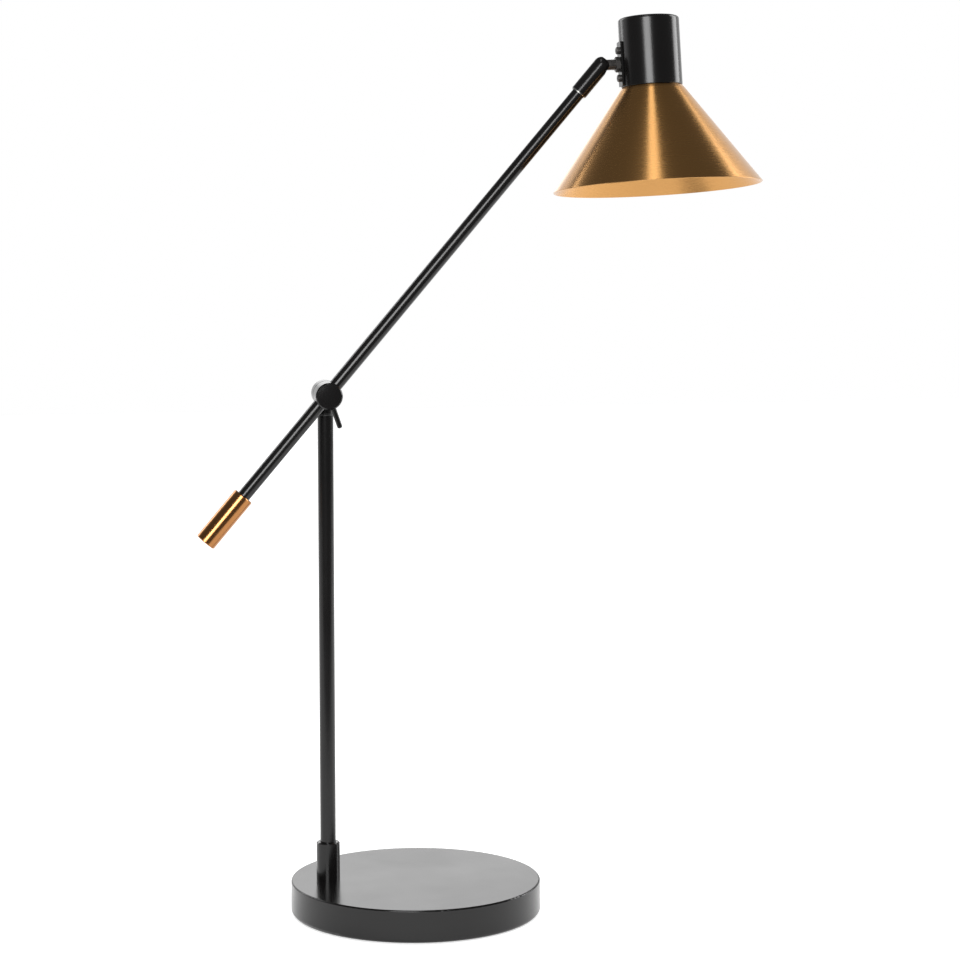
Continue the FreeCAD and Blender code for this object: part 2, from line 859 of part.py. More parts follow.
def ball_spring():
    """Two dished spring washers, edge to edge, between the screw's flange and the seat."""
    low = web_top + end_gap + swivel_screw_flange + running_gap
    high = -seat_depth
    middle = (low + high) / 2
    lift = spring_plate / 2
    return turned(
        (spring_inner_radius, low),
        (spring_inner_radius + spring_plate, low),
        (spring_outer_radius, middle - lift),
        (spring_outer_radius, middle + lift),
        (spring_inner_radius + spring_plate, high),
        (spring_inner_radius, high),
        (spring_outer_radius - spring_plate, middle),
    )


# ---- Stud pieces, along the stud, counted from the ball's middle ----
def ball_stud():
    stem = turned(
        (0, 0),
        (stem_radius, 0),
        (stem_radius, stem_smooth, stem_shoulder_round),
        (stem_thread_radius, stem_smooth),
        (stem_thread_radius, neck_reach - plate_outer - running_gap),
        (stem_tail_radius, neck_reach - plate_outer - running_gap),
        (stem_tail_radius, stem_end, stem_end_round),
        (0, stem_end),
    )
    wire_bore = rod(stem_bore_radius, 0, stem_end)
    flare = Part.makeCone(stem_flare_radius, stem_bore_radius, ball_radius, Vector(0, 0, -ball_radius))
    return Part.makeSphere(ball_radius).fuse(stem).cut([wire_bore, flare])


def neck_nut():
    high = neck_reach - plate_outer - running_gap
    nut = hexagon(neck_nut_across_flats, high - neck_nut_thickness, high)
    return nut.cut(rod(stem_thread_radius + seat_gap, 0, neck_reach))


def neck_lock_nut():
    low = neck_reach - strip_inner + running_gap
    nut = hexagon(lock_nut_across_flats, low, neck_reach - lock_nut_end)
    return nut.cut(rod(stem_tail_radius + seat_gap, 0, neck_reach))


# ---- Head pieces: X away from the arm along the stud, Z up the cup's axis ----
def plate_solid(grow):
    """The bracket plate, on its flat in the cup's side, grown all round by a clearance."""
    half = plate_width / 2 + grow
    low = -plate_down - grow
    high = plate_up + grow
    corners = [
        Vector(-plate_inner, -half, low),
        Vector(-plate_inner, half, low),
        Vector(-plate_inner, half, high),
        Vector(-plate_inner, -half, high),
    ]
    face = face_of([(corner, plate_corner) for corner in corners])
    return face.extrude(Vector(-plate_thickness, 0, 0))


def screw_bars(radius):
    """Bars along both bracket screws, from outside the plate to inside the strip."""
    bars = []
    for sign in (-1, 1):
        level = sign * screw_spacing / 2
        start = Vector(-plate_outer, 0, level)
        end = Vector(-strip_inner + screw_past_strip, 0, level)
        bars.append(cross_rod(radius, start, end))
    return bars


def stem_bar():
    reach = Vector(-lock_nut_end, 0, 0)
    return cross_rod(stem_tail_radius + running_gap, Vector(-neck_reach, 0, 0), reach)


def bracket_plate():
    return plate_solid(0).cut(screw_bars(screw_radius + drill_gap) + [stem_bar()])


def bracket_screws():
    """Pan-head screws through the plate and the cup's wall into the inner strip."""
    screws = []
    for shank in screw_bars(screw_radius):
        level = shank.CenterOfMass.z
        head = turned(
            (0, 0),
            (screw_head_radius, 0),
            (screw_head_radius, screw_head, screw_head_round),
            (0, screw_head),
        )
        head.Placement = Placement(Vector(-plate_outer, 0, level), Rotation(Vector(0, 1, 0), -90))
        screws.append(head.fuse(shank).removeSplitter())
    return Part.makeCompound(screws)


def socket_cup():
    body = turned(
        (cup_inner, -cup_bottom),
        (cup_radius, -cup_bottom, cup_mouth_round),
        (cup_radius, cup_top, cup_top_round),
        (0, cup_top),
        (0, cup_top - cup_lid),
        (cup_inner, cup_top - cup_lid, cup_lid_round),
    )
    return body.cut([plate_solid(seat_gap), stem_bar()] + screw_bars(screw_radius + drill_gap))


def holder_bracket():
    """Bent strip: one leg flat against the cup's wall, the other level over the lampholder."""
    half = strip_width / 2
    outer_bend = strip_bend_radius + strip_thickness
    corners = [
        (Vector(-strip_outer, -half, -strip_down), 0),
        (Vector(-strip_outer, -half, leg_top), outer_bend),
        (Vector(leg_past_axis, -half, leg_top), 0),
        (Vector(leg_past_axis, -half, leg_height), 0),
        (Vector(-strip_inner, -half, leg_height), strip_bend_radius),
        (Vector(-strip_inner, -half, -strip_down), 0),
    ]
    strip = face_of(corners).extrude(Vector(0, strip_width, 0))
    eye = rod(leg_past_axis, leg_height, leg_top)
    nipple_hole = rod(holder_nipple_radius + drill_gap, leg_height, leg_top)
    return strip.fuse(eye).cut([nipple_hole, stem_bar()] + screw_bars(screw_radius + seat_gap))


def lampholder_body():
    """Moulded holder: threaded skirt, shoulder for the shade, and a slimmer upper body."""
    return turned(
        (holder_cavity_radius, -holder_mouth),
        (holder_skirt_radius, -holder_mouth, holder_skirt_round),
        (holder_skirt_radius, -cup_bottom),
        (holder_shoulder_radius, -cup_bottom),
        (holder_shoulder_radius, holder_shoulder - cup_bottom, holder_shoulder_round),
        (holder_skirt_radius, holder_shoulder - cup_bottom),
        (holder_skirt_radius, -holder_skirt_top, holder_skirt_round),
        (holder_body_radius, -holder_skirt_top),
        (holder_body_radius, holder_body_top),
        (holder_cavity_radius, holder_body_top),
        (holder_cavity_radius, holder_cavity_top),
        (holder_cavity_radius - holder_ledge, holder_cavity_top),
        (holder_cavity_radius - holder_ledge, -insert_top),
        (holder_cavity_radius, -insert_top),
    )


def lampholder_insert():
    """Ceramic disc that carries the contacts, against the shoulder in the holder's bore."""
    outer = holder_cavity_radius - seat_gap
    disc = rod(outer, -shell_top, -insert_top)
    return disc.cut(rod(contact_radius / 2 + seat_gap, -shell_top, -insert_top))


def screw_shell():
    """Thin metal shell that the lamp's cap screws into, with a turned-in floor."""
    outer = shell_inner_radius + shell_wall
    low = shell_mouth_inset - holder_mouth
    return turned(
        (shell_inner_radius, low),
        (outer, low),
        (outer, -shell_top),
        (shell_floor_hole_radius, -shell_top),
        (shell_floor_hole_radius, -shell_top - shell_wall),
        (shell_inner_radius, -shell_top - shell_wall),
    )


def centre_contact():
    """Sprung button under the lamp's tip, on a rivet through the insert."""
    button_low = -shell_top - contact_spring
    return turned(
        (0, button_low),
        (contact_radius, button_low, contact_round),
        (contact_radius, -shell_top),
        (contact_radius / 2, -shell_top),
        (contact_radius / 2, contact_rivet - insert_top),
        (0, contact_rivet - insert_top),
    )


def lampholder_cap():
    """Domed top of the holder, over the terminals, tapped for the nipple."""
    body = turned(
        (holder_body_radius - holder_cap_wall, holder_body_top),
        (holder_body_radius, holder_body_top),
        (holder_body_radius, leg_height, holder_cap_round),
        (holder_nipple_radius + seat_gap, leg_height),
        (holder_nipple_radius + seat_gap, leg_height - holder_nipple_seat),
        (holder_body_radius - holder_cap_wall, leg_height - holder_nipple_seat, holder_cap_inner_round),
    )
    entry_level = (holder_body_top + leg_height - holder_nipple_seat) / 2
    entry = cross_rod(
        lead_spacing,
        Vector(-holder_body_radius - cut_past, 0, entry_level),
        Vector(lead_entry - holder_body_radius, 0, entry_level),
    )
    return body.cut(entry)


def holder_nipple():
    low = leg_height - holder_nipple_seat
    return tube(holder_nipple_radius, holder_nipple_bore_radius, low, nipple_top)


def holder_nut():
    nut = hexagon(holder_nut_across_flats, leg_top, leg_top + holder_nut_thickness)
    return nut.cut(rod(holder_nipple_radius + seat_gap, 0, nipple_top))


def head_leads():
    """The leads from the stud's bore, up beside the holder and in under its cap."""
    entry_level = (holder_body_top + leg_height - holder_nipple_seat) / 2
    rise_at = -(lock_nut_end - stem_past_lock_nut + holder_body_radius) / 2
    points = [
        Vector(ball_radius / 2 - neck_reach, 0, 0),
        Vector(rise_at, 0, 0),
        Vector(rise_at, 0, entry_level),
        Vector(lead_entry - holder_body_radius, 0, entry_level),
    ]
    tight_bend = 2 * lead_radius
    return lead_pair(points, tight_bend, Vector(0, 1, 0))


def shade_ring():
    """Ring screwed up the holder's skirt, which clamps the shade against the shoulder."""
    top = -cup_bottom - shade_wall
    return turned(
        (holder_skirt_radius + seat_gap, top),
        (shade_ring_radius, top),
        (shade_ring_radius, top - shade_ring_flange, shade_ring_edge_round),
        (shade_ring_hub_radius, top - shade_ring_flange),
        (shade_ring_hub_radius, top - shade_ring_height, shade_ring_foot_round),
        (holder_skirt_radius + seat_gap, top - shade_ring_height),
    )


def shade():
    """Spun cone of even wall, with a flat neck flange that the ring clamps."""
    top = -cup_bottom
    rim = top - shade_height
    spread = shade_rim_radius - shade_neck_radius
    slant = math.hypot(spread, shade_height)
    inward = shade_wall * shade_height / slant
    down = shade_wall * spread / slant
    # Where the inner slope meets the flange's underside.
    inner_start = shade_neck_radius - inward + (shade_wall - down) * spread / shade_height
    return turned(
        (holder_skirt_radius + drill_gap, top),
        (shade_neck_radius, top, shade_neck_round),
        (shade_rim_radius, rim),
        (shade_rim_radius - inward, rim - down),
        (inner_start, top - shade_wall),
        (holder_skirt_radius + drill_gap, top - shade_wall),
    )


pieces = [
    (Placement(), [base_cover, base_weight, base_plate, base_plate_screws, base_pad]),
    (Placement(), [cable_bushing, supply_leads]),
    (post_frame, [base_nipple, base_washer, base_nut, base_ferrule, ferrule_screw]),
    (post_frame, [post_tube, post_top_bush, swivel_washer, swivel_clip]),
    (Placement(pivot_centre, Rotation()), [post_block, pivot_leads]),
    (pivot_frame, [clamp_bolt, pivot_cap, friction_washer, arm_block]),
    (pivot_frame, [knob_washer, clamp_knob, clamp_lever]),
    (arm_frame, [arm_tube, counterweight, counterweight_screw, arm_end_bush]),
    (arm_frame, [swivel_screw, mouth_ring, arm_leads]),
    (ball_frame, [knuckle_body, ball_seat, ball_spring]),
    (stud_frame, [ball_stud, neck_nut, neck_lock_nut]),
    (head_frame, [bracket_plate, bracket_screws, socket_cup, holder_bracket]),
    (head_frame, [lampholder_body, lampholder_insert, screw_shell, centre_contact]),
    (head_frame, [lampholder_cap, holder_nipple, holder_nut, head_leads]),
    (head_frame, [shade_ring, shade]),
]

os.makedirs("parts", exist_ok=True)
for frame, makers in pieces:
    for maker in makers:
        solid = maker()
        solid.Placement = frame.multiply(solid.Placement)
        solid.exportStep(os.path.join("parts", maker.__name__ + ".step"))
        print(f"{maker.__name__}: {len(solid.Solids)} solid(s), {solid.Volume / 1000:.3f} cm3")
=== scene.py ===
import json
import math

import bpy
from mathutils import Matrix, Vector


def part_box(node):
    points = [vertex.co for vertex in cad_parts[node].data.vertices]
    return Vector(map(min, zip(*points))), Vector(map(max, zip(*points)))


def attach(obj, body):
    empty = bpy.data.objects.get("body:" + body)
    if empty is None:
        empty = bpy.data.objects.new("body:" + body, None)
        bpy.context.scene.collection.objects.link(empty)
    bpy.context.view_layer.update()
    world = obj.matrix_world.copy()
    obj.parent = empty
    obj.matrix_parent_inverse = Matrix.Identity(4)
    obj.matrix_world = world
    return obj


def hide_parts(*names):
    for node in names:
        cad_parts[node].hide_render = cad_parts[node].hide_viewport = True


bl_info = {
    "name": "Balanced-arm desk lamp",
    "version": (1, 0, 0),
    "blender": (4, 5, 0),
    "location": "3D View > Sidebar > Desk lamp",
    "description": "Dresses a balanced-arm desk lamp with its finishes, fine shapes and studio",
    "category": "Object",
}

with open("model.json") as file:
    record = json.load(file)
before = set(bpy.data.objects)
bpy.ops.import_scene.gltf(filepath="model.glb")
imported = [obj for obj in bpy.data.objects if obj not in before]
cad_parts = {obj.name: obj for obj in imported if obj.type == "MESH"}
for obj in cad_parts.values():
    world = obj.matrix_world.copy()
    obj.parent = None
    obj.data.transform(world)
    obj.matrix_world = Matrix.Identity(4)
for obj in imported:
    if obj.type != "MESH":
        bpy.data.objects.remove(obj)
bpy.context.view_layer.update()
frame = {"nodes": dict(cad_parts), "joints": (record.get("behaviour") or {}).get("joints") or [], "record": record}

MM = 0.001
QUARTER_TURN = math.pi / 2
SAME_POINT = 1e-6                    # metres; points closer than this are merged
NOISE_LOW, NOISE_HIGH = 0.3, 0.7     # nearly all values of a noise texture lie between these


# ---- The lamp's own axes, read from its joints and its socket ----
def joint_named(name):
    return next(joint for joint in frame["joints"] if joint["name"] == name)


def mount_named(name):
    return next(mount for mount in frame["record"]["mounts"] if mount["name"] == name)


def axes_matrix(origin, up, ahead):
    """A frame at origin whose Z is up and whose X lies as near as it can to ahead."""
    z = Vector(up).normalized()
    y = z.cross(Vector(ahead)).normalized()
    x = y.cross(z)
    turn = Matrix((x, y, z)).transposed().to_4x4()
    return Matrix.Translation(origin) @ turn


def head_axes():
    """Cup and shade: Z up the cup, X away from the arm, at the neck's height."""
    neck = joint_named("shade_turn")
    up = -Vector(mount_named("lamp_socket")["axis"])
    return axes_matrix(Vector(neck["pos_m"]), up, neck["axis"])


def neck_axes():
    """Ball stud: Z along the stud from the ball's middle."""
    tilt = joint_named("neck_tilt")
    return axes_matrix(Vector(tilt["pos_m"]), joint_named("shade_turn")["axis"], (0, 1, 0))


def arm_axes():
    """Arm: Z along the arm towards the head, from the pivot's axis."""
    swivel = joint_named("knuckle_swivel")
    along = Vector(swivel["axis"]).normalized()
    ball = Vector(swivel["pos_m"])
    pivot = Vector(joint_named("arm_tilt")["pos_m"])
    return axes_matrix(ball + along * (pivot - ball).dot(along), along, (0, 1, 0))


# ---- Modelling helpers ----
def deselect():
    if bpy.context.object and bpy.context.object.mode != "OBJECT":
        bpy.ops.object.mode_set(mode="OBJECT")
    bpy.ops.object.select_all(action="DESELECT")


def turned(name, points, segments):
    """A wall turned about Z, modelled ring by ring through (radius, height) points."""
    deselect()
    radius, height = points[0]
    bpy.ops.mesh.primitive_circle_add(vertices=segments, radius=radius, location=(0, 0, height))
    piece = bpy.context.object
    piece.name = name
    piece.data.name = name
    bpy.ops.object.transform_apply(location=True, rotation=False, scale=False)
    bpy.ops.object.mode_set(mode="EDIT")
    bpy.ops.mesh.select_all(action="SELECT")
    for next_radius, next_height in points[1:]:
        step = (0, 0, next_height - height)
        bpy.ops.mesh.extrude_region_move(TRANSFORM_OT_translate={"value": step})
        ratio = next_radius / radius
        bpy.ops.transform.resize(value=(ratio, ratio, 1), center_override=(0, 0, next_height))
        radius, height = next_radius, next_height
    bpy.ops.mesh.select_all(action="SELECT")
    bpy.ops.mesh.remove_doubles(threshold=SAME_POINT)
    bpy.ops.mesh.normals_make_consistent(inside=False)
    bpy.ops.object.mode_set(mode="OBJECT")
    return piece


def put(piece, matrix):
    """Moves a piece made at the origin to its place, and leaves the place in its mesh."""
    deselect()
    piece.matrix_world = matrix
    piece.select_set(True)
    bpy.context.view_layer.objects.active = piece
    bpy.ops.object.transform_apply(location=True, rotation=True, scale=True)


def smooth(piece, degrees):
    deselect()
    piece.select_set(True)
    bpy.context.view_layer.objects.active = piece
    bpy.ops.object.shade_smooth_by_angle(angle=math.radians(degrees), keep_sharp_edges=False)


def dress(piece, material, body, slot, *nodes):
    """Gives a finished piece its material and its body, and hides the CAD nodes that it stands for."""
    piece.data.materials.clear()
    piece.data.materials.append(material)
    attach(piece, body)
    if nodes:
        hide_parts(*nodes)


def fill_ends(piece):
    """Closes every open end of a piece with a face."""
    deselect()
    piece.select_set(True)
    bpy.context.view_layer.objects.active = piece
    bpy.ops.object.mode_set(mode="EDIT")
    bpy.ops.mesh.select_all(action="SELECT")
    bpy.ops.mesh.fill_holes(sides=0)
    bpy.ops.mesh.normals_make_consistent(inside=False)
    bpy.ops.object.mode_set(mode="OBJECT")


def wound(name, corners, ridge, radius, start, pitch, turns, steps):
    """A ridge of a few corners wound up the Z axis like a thread."""
    deselect()
    bpy.ops.mesh.primitive_circle_add(
        vertices=corners, radius=ridge,
        location=(radius, 0, start), rotation=(QUARTER_TURN, QUARTER_TURN, 0),
    )
    piece = bpy.context.object
    piece.name = name
    piece.data.name = name
    bpy.ops.object.transform_apply(location=True, rotation=True, scale=True)
    thread = piece.modifiers.new("thread", "SCREW")
    thread.axis = "Z"
    thread.angle = math.tau
    thread.screw_offset = pitch
    thread.iterations = turns
    thread.steps = steps
    thread.render_steps = steps
    bpy.ops.object.modifier_apply(modifier=thread.name)
    fill_ends(piece)
    return piece


def sink(piece, cutter):
    """Cuts the cutter's shape out of the piece and removes the cutter."""
    deselect()
    bpy.context.view_layer.objects.active = piece
    piece.select_set(True)
    recess = piece.modifiers.new("recess", "BOOLEAN")
    recess.operation = "DIFFERENCE"
    recess.object = cutter
    bpy.ops.object.modifier_apply(modifier=recess.name)
    bpy.data.meshes.remove(cutter.data)


def rounded(outer, height, radius, steps):
    """Points of a quarter round from the side wall, ending level on top."""
    points = []
    for step in range(steps + 1):
        angle = QUARTER_TURN * step / steps
        across = outer - radius + radius * math.cos(angle)
        points.append((across, height - radius + radius * math.sin(angle)))
    return points


# ---- Material helpers ----
def linear(hex_colour):
    """An sRGB hex colour as linear RGBA."""
    channels = []
    for start in (1, 3, 5):
        value = int(hex_colour[start:start + 2], 16) / 255
        channels.append(value / 12.92 if value <= 0.04045 else ((value + 0.055) / 1.055) ** 2.4)
    return (*channels, 1.0)


def new_material(name):
    material = bpy.data.materials.new(name)
    material.use_nodes = True
    material.node_tree.nodes.clear()
    return material


def add_node(tree, kind, settings=(), values=(), links=()):
    """Adds one node, sets its properties and socket values, and links its inputs."""
    node = tree.nodes.new(kind)
    for key, value in dict(settings).items():
        setattr(node, key, value)
    for key, value in dict(values).items():
        node.inputs[key].default_value = value
    for key, source in dict(links).items():
        tree.links.new(source, node.inputs[key])
    return node


def powder_coat(coat):
    """Baked polyester powder on steel: satin black with soft, slightly uneven highlights."""
    patch_size = 60 * MM
    thin_patch, thick_patch = 0.02, 0.03
    material = new_material("powder_coated_steel_satin_black")
    tree = material.node_tree
    place = add_node(tree, "ShaderNodeTexCoord")
    # Orange peel at its real width, a few millimetres: the edge of each highlight wavers.
    peel = add_node(
        tree, "ShaderNodeTexNoise",
        values={"Scale": 1 / coat.peel_size, "Detail": 2.0, "Roughness": 0.4},
        links={"Vector": place.outputs["Object"]},
    )
    # Broad patches of thinner and thicker powder: gloss and black change slowly.
    patches = add_node(
        tree, "ShaderNodeTexNoise",
        values={"Scale": 1 / patch_size, "Detail": 3.0, "Roughness": 0.5},
        links={"Vector": place.outputs["Object"]},
    )
    gloss = add_node(
        tree, "ShaderNodeMapRange",
        values={
            "From Min": NOISE_LOW, "From Max": NOISE_HIGH,
            "To Min": coat.roughness - thin_patch, "To Max": coat.roughness + thick_patch,
        },
        links={"Value": patches.outputs["Fac"]},
    )
    tint = add_node(
        tree, "ShaderNodeMix",
        settings={"data_type": "RGBA"},
        values={"A": coat.colour, "B": coat.light_colour},
        links={"Factor": patches.outputs["Fac"]},
    )
    bump = add_node(
        tree, "ShaderNodeBump",
        values={"Strength": 0.25, "Distance": coat.peel_height},
        links={"Height": peel.outputs["Fac"]},
    )
    # Polyester is near 1.5; the real coat's sheen is a little weaker.
    surface = add_node(
        tree, "ShaderNodeBsdfPrincipled",
        values={"IOR": 1.42},
        links={
            "Base Color": tint.outputs["Result"],
            "Roughness": gloss.outputs["Result"],
            "Normal": bump.outputs["Normal"],
        },
    )
    add_node(tree, "ShaderNodeOutputMaterial", links={"Surface": surface.outputs["BSDF"]})
    return material


def spun_metal(name, colour, dark, roughness, line_width, anisotropy, matrix):
    """Metal worked round an axis: fine rings, and highlights drawn out along the wall.

    Real lines are a few hundredths of a millimetre wide. They are drawn coarser, so that they show.
    """
    length_of_line = 50     # in line widths
    polished, scratched = 0.004, 0.006
    across_the_rings = 0.25     # of a full turn from the UV map's own direction
    material = new_material(name)
    tree = material.node_tree
    place = add_node(tree, "ShaderNodeTexCoord")
    back = matrix.inverted()
    local = add_node(
        tree, "ShaderNodeMapping",
        values={"Location": back.to_translation(), "Rotation": back.to_euler()},
        links={"Vector": place.outputs["Object"]},
    )
    stretch = add_node(
        tree, "ShaderNodeMapping",
        values={"Scale": (1 / length_of_line, 1 / length_of_line, 1.0)},
        links={"Vector": local.outputs["Vector"]},
    )
    lines = add_node(
        tree, "ShaderNodeTexNoise",
        values={"Scale": 1 / line_width, "Detail": 4.0, "Roughness": 0.7},
        links={"Vector": stretch.outputs["Vector"]},
    )
    tone = add_node(
        tree, "ShaderNodeMix",
        settings={"data_type": "RGBA"},
        values={"A": dark, "B": colour},
        links={"Factor": lines.outputs["Fac"]},
    )
    gloss = add_node(
        tree, "ShaderNodeMapRange",
        values={
            "From Min": NOISE_LOW, "From Max": NOISE_HIGH,
            "To Min": roughness - polished, "To Max": roughness + scratched,
        },
        links={"Value": lines.outputs["Fac"]},
    )
    bump = add_node(
        tree, "ShaderNodeBump",
        values={"Strength": 0.012, "Distance": 0.01 * MM},
        links={"Height": lines.outputs["Fac"]},
    )
    grain = add_node(
        tree, "ShaderNodeTangent",
        settings={"direction_type": "UV_MAP", "uv_map": "around"},
    )
    surface = add_node(
        tree, "ShaderNodeBsdfPrincipled",
        values={
            "Metallic": 1.0, "Anisotropic": anisotropy,
            "Anisotropic Rotation": across_the_rings,
        },
        links={
            "Base Color": tone.outputs["Result"],
            "Roughness": gloss.outputs["Result"],
            "Normal": bump.outputs["Normal"],
            "Tangent": grain.outputs["Tangent"],
        },
    )
    add_node(tree, "ShaderNodeOutputMaterial", links={"Surface": surface.outputs["BSDF"]})
    return material


def speckled(name, colour, second, roughness, grain, height, metallic=0.0, ior=1.5):
    """A cast, moulded, pressed or plated skin: two close tones in small raised grains.

    Grains that are too fine to show are drawn coarser than the real ones.
    """
    uneven = 0.05
    material = new_material(name)
    tree = material.node_tree
    place = add_node(tree, "ShaderNodeTexCoord")
    grains = add_node(
        tree, "ShaderNodeTexNoise",
        values={"Scale": 1 / grain, "Detail": 3.0, "Roughness": 0.6},
        links={"Vector": place.outputs["Object"]},
    )
    tone = add_node(
        tree, "ShaderNodeMix",
        settings={"data_type": "RGBA"},
        values={"A": linear(colour), "B": linear(second)},
        links={"Factor": grains.outputs["Fac"]},
    )
    gloss = add_node(
        tree, "ShaderNodeMapRange",
        values={"To Min": roughness - uneven, "To Max": roughness + uneven},
        links={"Value": grains.outputs["Fac"]},
    )
    bump = add_node(
        tree, "ShaderNodeBump",
        values={"Strength": 0.4, "Distance": height},
        links={"Height": grains.outputs["Fac"]},
    )
    surface = add_node(
        tree, "ShaderNodeBsdfPrincipled",
        values={"Metallic": metallic, "IOR": ior},
        links={
            "Base Color": tone.outputs["Result"],
            "Roughness": gloss.outputs["Result"],
            "Normal": bump.outputs["Normal"],
        },
    )
    add_node(tree, "ShaderNodeOutputMaterial", links={"Surface": surface.outputs["BSDF"]})
    return material


def wrap_around(piece, matrix):
    """A UV map whose U turns once round the axis and whose V runs up the wall and inwards."""
    layer = piece.data.uv_layers.new(name="around")
    back = matrix.inverted()
    places = [back @ vertex.co for vertex in piece.data.vertices]
    for polygon in piece.data.polygons:
        middle = back @ polygon.center
        reference = math.atan2(middle.y, middle.x)
        for index in polygon.loop_indices:
            point = places[piece.data.loops[index].vertex_index]
            angle = math.atan2(point.y, point.x)
            angle += math.tau * round((reference - angle) / math.tau)
            layer.data[index].uv = (angle / math.tau, point.z - point.xy.length)


# ---- Settings ----
class CoatSettings(bpy.types.PropertyGroup):
    colour: bpy.props.FloatVectorProperty(
        name="Colour", description="Black of the coat",
        default=linear("#0c0b0b"), size=4, min=0.0, max=1.0, subtype="COLOR",
    )
    light_colour: bpy.props.FloatVectorProperty(
        name="Light colour", description="Black of the coat in its lighter patches",
        default=linear("#121111"), size=4, min=0.0, max=1.0, subtype="COLOR",
    )
    roughness: bpy.props.FloatProperty(
        name="Roughness", description="How soft the black coat's gloss is",
        default=0.21, min=0.1, max=0.9, subtype="FACTOR",
    )
    peel_size: bpy.props.FloatProperty(
        name="Orange peel size", description="Width of one ripple of the baked coat",
        default=2.4 * MM, unit="LENGTH", precision=5,
    )
    peel_height: bpy.props.FloatProperty(
        name="Orange peel height", description="Height of the ripples of the baked coat",
        default=0.006 * MM, unit="LENGTH", precision=5,
    )


class BrassSettings(bpy.types.PropertyGroup):
    roughness: bpy.props.FloatProperty(
        name="Roughness", description="How soft the brushed brass is",
        default=0.27, min=0.05, max=0.9, subtype="FACTOR",
    )
    anisotropy: bpy.props.FloatProperty(
        name="Brushing", description="How strongly the brushing draws the highlights out",
        default=0.8, min=0.0, max=1.0, subtype="FACTOR",
    )
    line_width: bpy.props.FloatProperty(
        name="Line width", description="Width of one brushed line",
        default=0.5 * MM, unit="LENGTH", precision=5,
    )


class ShadeSettings(bpy.types.PropertyGroup):
    colour: bpy.props.FloatVectorProperty(
        name="Colour", description="Colour of the brushed brass",
        default=linear("#bf9058"), size=4, min=0.0, max=1.0, subtype="COLOR",
    )
    dark_colour: bpy.props.FloatVectorProperty(
        name="Dark colour", description="Colour between the brushed lines",
        default=linear("#b88851"), size=4, min=0.0, max=1.0, subtype="COLOR",
    )
    rim_radius: bpy.props.FloatProperty(
        name="Rim radius", description="Radius of the shade's open rim",
        default=79.4 * MM, unit="LENGTH", precision=5,
    )
    neck_radius: bpy.props.FloatProperty(
        name="Neck radius", description="Radius of the shade under the cup",
        default=23.0 * MM, unit="LENGTH", precision=5,
    )
    hole_radius: bpy.props.FloatProperty(
        name="Hole radius", description="Radius of the hole that the lampholder passes",
        default=14.0 * MM, unit="LENGTH", precision=5,
    )
    top: bpy.props.FloatProperty(
        name="Top", description="Distance of the shade's top below the neck's axis",
        default=17.4 * MM, unit="LENGTH", precision=5,
    )
    height: bpy.props.FloatProperty(
        name="Height", description="Height of the cone along its axis",
        default=76.4 * MM, unit="LENGTH", precision=5,
    )
    wall: bpy.props.FloatProperty(
        name="Wall", description="Thickness of the spun sheet",
        default=0.9 * MM, unit="LENGTH", precision=5,
    )


class WeightSettings(bpy.types.PropertyGroup):
    colour: bpy.props.FloatVectorProperty(
        name="Colour", description="Colour of the turned brass",
        default=linear("#a9764a"), size=4, min=0.0, max=1.0, subtype="COLOR",
    )
    dark_colour: bpy.props.FloatVectorProperty(
        name="Dark colour", description="Colour between the turning marks",
        default=linear("#9f6d40"), size=4, min=0.0, max=1.0, subtype="COLOR",
    )
    radius: bpy.props.FloatProperty(
        name="Radius", description="Radius of the counterweight",
        default=8.1 * MM, unit="LENGTH", precision=5,
    )
    near: bpy.props.FloatProperty(
        name="Near end", description="Distance of the near face down the arm from the pivot",
        default=98.7 * MM, unit="LENGTH", precision=5,
    )
    far: bpy.props.FloatProperty(
        name="Far end", description="Distance of the far face down the arm from the pivot",
        default=143.9 * MM, unit="LENGTH", precision=5,
    )
    chamfer: bpy.props.FloatProperty(
        name="Chamfer", description="Width of the turned chamfers",
        default=0.6 * MM, unit="LENGTH", precision=5,
    )
    bore: bpy.props.FloatProperty(
        name="Bore radius", description="Radius of the bore that takes the arm",
        default=5.04 * MM, unit="LENGTH", precision=5,
    )
    end: bpy.props.FloatProperty(
        name="End wall", description="Thickness of the closed end",
        default=5.4 * MM, unit="LENGTH", precision=5,
    )
    roughness: bpy.props.FloatProperty(
        name="Roughness", description="How soft the turned brass is",
        default=0.2, min=0.0, max=1.0, subtype="FACTOR",
    )
    anisotropy: bpy.props.FloatProperty(
        name="Turning", description="How strongly the turning marks draw the highlights out",
        default=0.5, min=0.0, max=1.0, subtype="FACTOR",
    )


